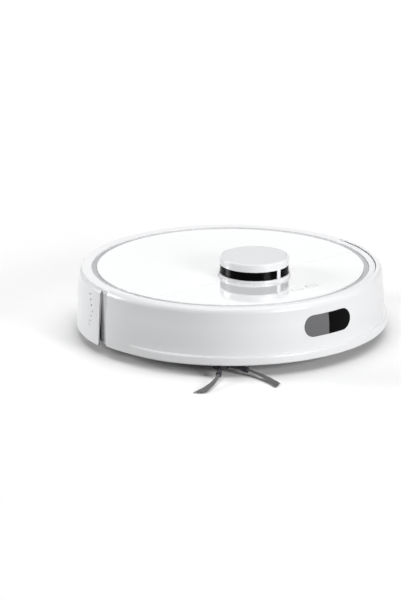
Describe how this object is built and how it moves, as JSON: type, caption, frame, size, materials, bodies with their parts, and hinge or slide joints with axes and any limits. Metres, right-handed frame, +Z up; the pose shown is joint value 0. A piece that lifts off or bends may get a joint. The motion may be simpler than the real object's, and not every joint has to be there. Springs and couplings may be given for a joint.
{
  "type": "robot vacuum",
  "caption": "Round robot vacuum and mop with a laser turret, sprung bumper, side brush, suction brush, drive wheels, caster, slide-out dust bin and mop plate.",
  "frame": {"origin": "on the floor, below the centre of the round body", "axes": "+X ahead through the sensor window, +Y to the robot's left, +Z up"},
  "size_m": [0.3643, 0.3451, 0.0949],
  "materials": {
    "white_shell": "satin moulded",
    "white_deck": "mirror gloss",
    "pale_grey": "satin",
    "grey_trim": "matte",
    "black_window": "polished",
    "grey_window": "polished",
    "dark_plastic": "matte",
    "chassis_white": "matte",
    "tread": "matte",
    "fin_rubber": "matte",
    "bristle": "matte",
    "steel": "satin",
    "contact_metal": "polished",
    "board_green": "satin",
    "cell_wrap": "satin",
    "filter_paper": "matte",
    "mop_cloth": "matte",
    "smoke_bin": "smooth"
  },
  "bodies": {
    "chassis": {"chassis_base": "chassis_white", "chassis_screws": "steel", "cliff_sensor_windows": "black_window", "charging_contacts": "contact_metal", "side_walls": "white_shell", "gap_strips": "grey_trim", "top_housing": "white_shell", "deck_trim_ring": "pale_grey", "front_deck_panel": "white_deck", "rear_deck_panel": "white_deck", "key_switch_strip": "board_green", "turret_base": "white_shell", "lidar_motor": "steel", "lidar_belt": "tread", "bumper_springs": "steel", "bumper_switches": "dark_plastic", "wheel_hinge_pins": "steel", "wheel_springs": "steel", "caster_socket": "dark_plastic", "brush_housing": "dark_plastic", "brush_guard": "dark_plastic", "brush_motor": "dark_plastic", "side_brush_motor": "dark_plastic", "fan_housing": "dark_plastic", "battery_pack": "cell_wrap", "battery_door": "chassis_white", "main_board": "board_green", "speaker": "dark_plastic"},
    "bumper": {"bumper_shell": "white_shell", "sensor_window_black": "black_window", "sensor_window_grey": "grey_window", "bumper_lip": "white_shell"},
    "turret": {"turret_cap": "white_shell", "turret_window": "black_window", "turret_disc": "pale_grey"},
    "lidar": {"lidar_rotor": "dark_plastic", "lidar_lenses": "black_window"},
    "belt_pulley": {"lidar_pulley": "dark_plastic"},
    "power_key": {"power_button": "white_deck"},
    "dock_key": {"dock_button": "white_deck"},
    "spot_key": {"spot_button": "white_deck"},
    "arm_left": {"wheel_arm_left": "dark_plastic"},
    "arm_right": {"wheel_arm_right": "dark_plastic"},
    "wheel_left": {"wheel_hub_left": "grey_trim", "wheel_tyre_left": "tread"},
    "wheel_right": {"wheel_hub_right": "grey_trim", "wheel_tyre_right": "tread"},
    "caster": {"caster_fork": "dark_plastic"},
    "roller": {"caster_roller": "tread"},
    "main_brush": {"brush_core": "dark_plastic", "brush_fins": "fin_rubber"},
    "side_brush": {"side_brush_hub": "dark_plastic", "side_brush_arms": "bristle"},
    "impeller": {"fan_impeller": "dark_plastic"},
    "dust_bin": {"bin_shell": "white_shell", "bin_lid": "smoke_bin", "bin_filter": "filter_paper"},
    "latch": {"bin_latch": "white_shell"},
    "mop": {"mop_plate": "grey_trim", "mop_pad": "mop_cloth"}
  },
  "joints": [
    {"name": "bumper_press", "type": "slide", "parent": "chassis", "child": "bumper", "axis": [-1, 0, 0], "range_m": [0, 0.004], "stiffness_N_per_m": 300, "springref_m": -0.004, "deforming": ["bumper_springs"]},
    {"name": "turret_press", "type": "slide", "parent": "chassis", "child": "turret", "axis": [0, 0, -1], "range_m": [0, 0.0015], "stiffness_N_per_m": 500, "springref_m": -0.0025},
    {"name": "lidar_spin", "type": "hinge", "parent": "chassis", "child": "lidar", "pos_m": [0.042, 0, 0.07], "axis": [0, 0, 1], "continuous": true},
    {"name": "belt_pulley_spin", "type": "hinge", "parent": "chassis", "child": "belt_pulley", "pos_m": [-0.0062, 0, 0.064], "axis": [0, 0, 1], "continuous": true},
    {"name": "main_brush_spin", "type": "hinge", "parent": "chassis", "child": "main_brush", "pos_m": [0.014, 0, 0.021], "axis": [0, 1, 0], "continuous": true},
    {"name": "side_brush_spin", "type": "hinge", "parent": "chassis", "child": "side_brush", "pos_m": [0.112, -0.103, 0.01], "axis": [0, 0, 1], "continuous": true},
    {"name": "fan_spin", "type": "hinge", "parent": "chassis", "child": "impeller", "pos_m": [-0.037, -0.045, 0.04], "axis": [0, 0, 1], "continuous": true},
    {"name": "caster_swivel", "type": "hinge", "parent": "chassis", "child": "caster", "pos_m": [0.122, 0, 0.02], "axis": [0, 0, 1], "continuous": true},
    {"name": "caster_roll", "type": "hinge", "parent": "caster", "child": "roller", "pos_m": [0.118, 0, 0.0105], "axis": [0, 1, 0], "continuous": true},
    {"name": "bin_slide", "type": "slide", "parent": "chassis", "child": "dust_bin", "axis": [-1, 0, 0], "range_m": [0, 0.115]},
    {"name": "latch_press", "type": "slide", "parent": "dust_bin", "child": "latch", "axis": [1, 0, 0], "range_m": [0, 0.0025], "stiffness_N_per_m": 500, "springref_m": -0.002},
    {"name": "mop_slide", "type": "slide", "parent": "chassis", "child": "mop", "axis": [-1, 0, 0], "range_m": [0, 0.11]},
    {"name": "power_press", "type": "slide", "parent": "chassis", "child": "power_key", "axis": [0, 0, -1], "range_m": [0, 0.0006], "stiffness_N_per_m": 500, "springref_m": -0.001},
    {"name": "dock_press", "type": "slide", "parent": "chassis", "child": "dock_key", "axis": [0, 0, -1], "range_m": [0, 0.0006], "stiffness_N_per_m": 500, "springref_m": -0.001},
    {"name": "spot_press", "type": "slide", "parent": "chassis", "child": "spot_key", "axis": [0, 0, -1], "range_m": [0, 0.0006], "stiffness_N_per_m": 500, "springref_m": -0.001},
    {"name": "wheel_drop_left", "type": "hinge", "parent": "chassis", "child": "arm_left", "pos_m": [0.044, 0.118, 0.042], "axis": [0, -1, 0], "range_deg": [0, 18], "stiffness_Nm_per_rad": 0.2, "springref_deg": 28.65},
    {"name": "wheel_spin_left", "type": "hinge", "parent": "arm_left", "child": "wheel_left", "pos_m": [-0.009, 0.118, 0.033], "axis": [0, 1, 0], "continuous": true},
    {"name": "wheel_drop_right", "type": "hinge", "parent": "chassis", "child": "arm_right", "pos_m": [0.044, -0.118, 0.042], "axis": [0, -1, 0], "range_deg": [0, 18], "stiffness_Nm_per_rad": 0.2, "springref_deg": 28.65},
    {"name": "wheel_spin_right", "type": "hinge", "parent": "arm_right", "child": "wheel_right", "pos_m": [-0.009, -0.118, 0.033], "axis": [0, 1, 0], "continuous": true}
  ],
  "couplings": [
    {"joint": "belt_pulley_spin", "follows": "lidar_spin", "ratio": 6.75}
  ]
}
